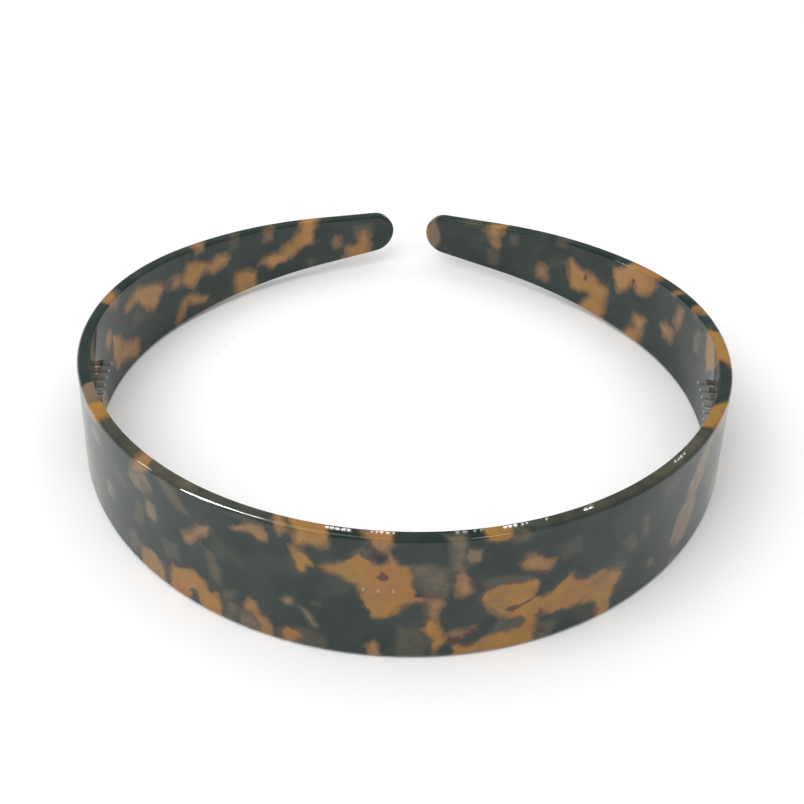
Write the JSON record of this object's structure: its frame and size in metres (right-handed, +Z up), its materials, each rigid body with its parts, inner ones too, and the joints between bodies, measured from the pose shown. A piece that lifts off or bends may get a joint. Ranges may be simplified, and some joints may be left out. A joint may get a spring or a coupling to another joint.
{
  "type": "headband",
  "caption": "Wide rigid headband: a tapering tortoiseshell acetate strip bent into a springy open hoop with round tips and a row of small comb teeth inside.",
  "frame": {"origin": "middle of the footprint, on the surface the headband's lower edge rests on", "axes": "+Z up from the resting surface, +Y from the crown to the two tips, +X towards the right-hand tip's side"},
  "size_m": [0.14, 0.1357, 0.0306],
  "materials": {
    "tortoiseshell_acetate": "polished tortoiseshell: dark green-black blotches in translucent amber",
    "tooth_acetate": "polished amber-brown acetate"
  },
  "bodies": {
    "crown": {"crown_band": "tortoiseshell_acetate", "crown_teeth": "tooth_acetate"},
    "left_side": {"left_side_band": "tortoiseshell_acetate", "left_side_teeth": "tooth_acetate"},
    "left_arm": {"left_arm_band": "tortoiseshell_acetate"},
    "right_side": {"right_side_band": "tortoiseshell_acetate", "right_side_teeth": "tooth_acetate"},
    "right_arm": {"right_arm_band": "tortoiseshell_acetate"}
  },
  "joints": [
    {"name": "left_side_flex", "type": "hinge", "parent": "crown", "child": "left_side", "pos_m": [-0.03946, -0.05341, 0.01469], "axis": [0, 0.048, 0.9988], "range_deg": [-1.2, 12], "stiffness_Nm_per_rad": 1.25},
    {"name": "left_arm_flex", "type": "hinge", "parent": "left_side", "child": "left_arm", "pos_m": [-0.06719, 0.01224, 0.01154], "axis": [0, 0.048, 0.9988], "range_deg": [-0.72, 7.2], "stiffness_Nm_per_rad": 0.8},
    {"name": "right_side_flex", "type": "hinge", "parent": "crown", "child": "right_side", "pos_m": [0.03946, -0.05341, 0.01469], "axis": [0, -0.048, -0.9988], "range_deg": [-1.2, 12], "stiffness_Nm_per_rad": 1.25},
    {"name": "right_arm_flex", "type": "hinge", "parent": "right_side", "child": "right_arm", "pos_m": [0.06719, 0.01224, 0.01154], "axis": [0, -0.048, -0.9988], "range_deg": [-0.72, 7.2], "stiffness_Nm_per_rad": 0.8}
  ],
  "couplings": [
    {"joint": "left_arm_flex", "follows": "left_side_flex", "ratio": 0.6},
    {"joint": "right_arm_flex", "follows": "right_side_flex", "ratio": 0.6}
  ]
}
